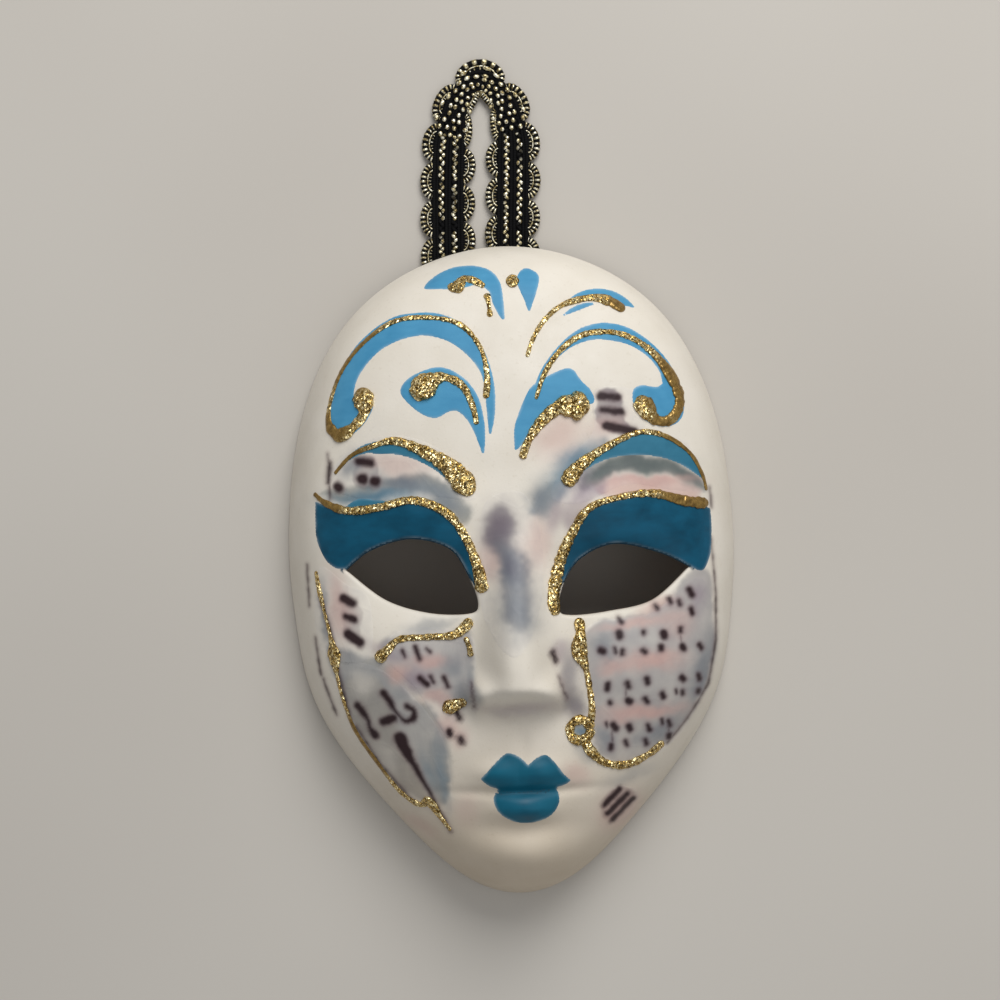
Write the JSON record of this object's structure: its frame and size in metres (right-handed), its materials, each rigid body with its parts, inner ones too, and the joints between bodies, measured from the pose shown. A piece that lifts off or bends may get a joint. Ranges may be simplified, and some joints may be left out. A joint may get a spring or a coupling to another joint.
{
  "type": "venetian masquerade mask",
  "caption": "Small full-face carnival mask: hollow bisque shell with open eyes, raised gold scrolls, pasted printed tissue and a hanging loop of gimp braid.",
  "frame": {"origin": "centre of the face outline, on the plane that the rim rests on, with the mask lying face up", "axes": "+Z out of the face, +Y towards the forehead and the hanging loop, +X to the right of somebody who looks at the face"},
  "size_m": [0.1103, 0.2056, 0.0443],
  "materials": {
    "bisque": "matt, unglazed white",
    "gold_relief": "gold glitter paste",
    "printed_tissue": "printed tissue under satin varnish",
    "blue_paint": "satin acrylic paint",
    "gimp_braid": "black rayon cord with gold thread",
    "glue": "hot-melt glue, milky"
  },
  "bodies": {
    "mask": {"glue_pad_left": "glue", "glue_pad_right": "glue", "mask_shell": "bisque", "relief_brow_left": "gold_relief", "relief_brow_right": "gold_relief", "relief_cheek_left": "gold_relief", "relief_cheek_left_twig": "gold_relief", "relief_cheek_right": "gold_relief", "relief_cheek_right_ring": "gold_relief", "relief_cheek_right_tail": "gold_relief", "relief_crown_curl": "gold_relief", "relief_crown_dot": "gold_relief", "relief_crown_drop": "gold_relief", "relief_lid_left": "gold_relief", "relief_lid_right": "gold_relief", "relief_nostril_left": "gold_relief", "relief_scroll_inner_left": "gold_relief", "relief_scroll_inner_right": "gold_relief", "relief_scroll_large_left": "gold_relief", "relief_scroll_large_right": "gold_relief", "relief_scroll_small_right": "gold_relief", "relief_side_left": "gold_relief", "ribbon_end_left": "gimp_braid", "ribbon_end_right": "gimp_braid", "tissue_brow_left": "printed_tissue", "tissue_brow_right": "printed_tissue", "tissue_cheek_inner_left": "printed_tissue", "tissue_cheek_left": "printed_tissue", "tissue_cheek_right": "printed_tissue", "tissue_chin": "printed_tissue", "tissue_nose_bridge": "printed_tissue", "tissue_temple_left": "printed_tissue"},
    "loop": {"hanging_loop": "gimp_braid"}
  },
  "joints": [
    {"name": "loop_swing", "type": "hinge", "parent": "mask", "child": "loop", "pos_m": [0, 0.0818, 0.00095], "axis": [1, 0, 0], "range_deg": [0, 100]}
  ]
}
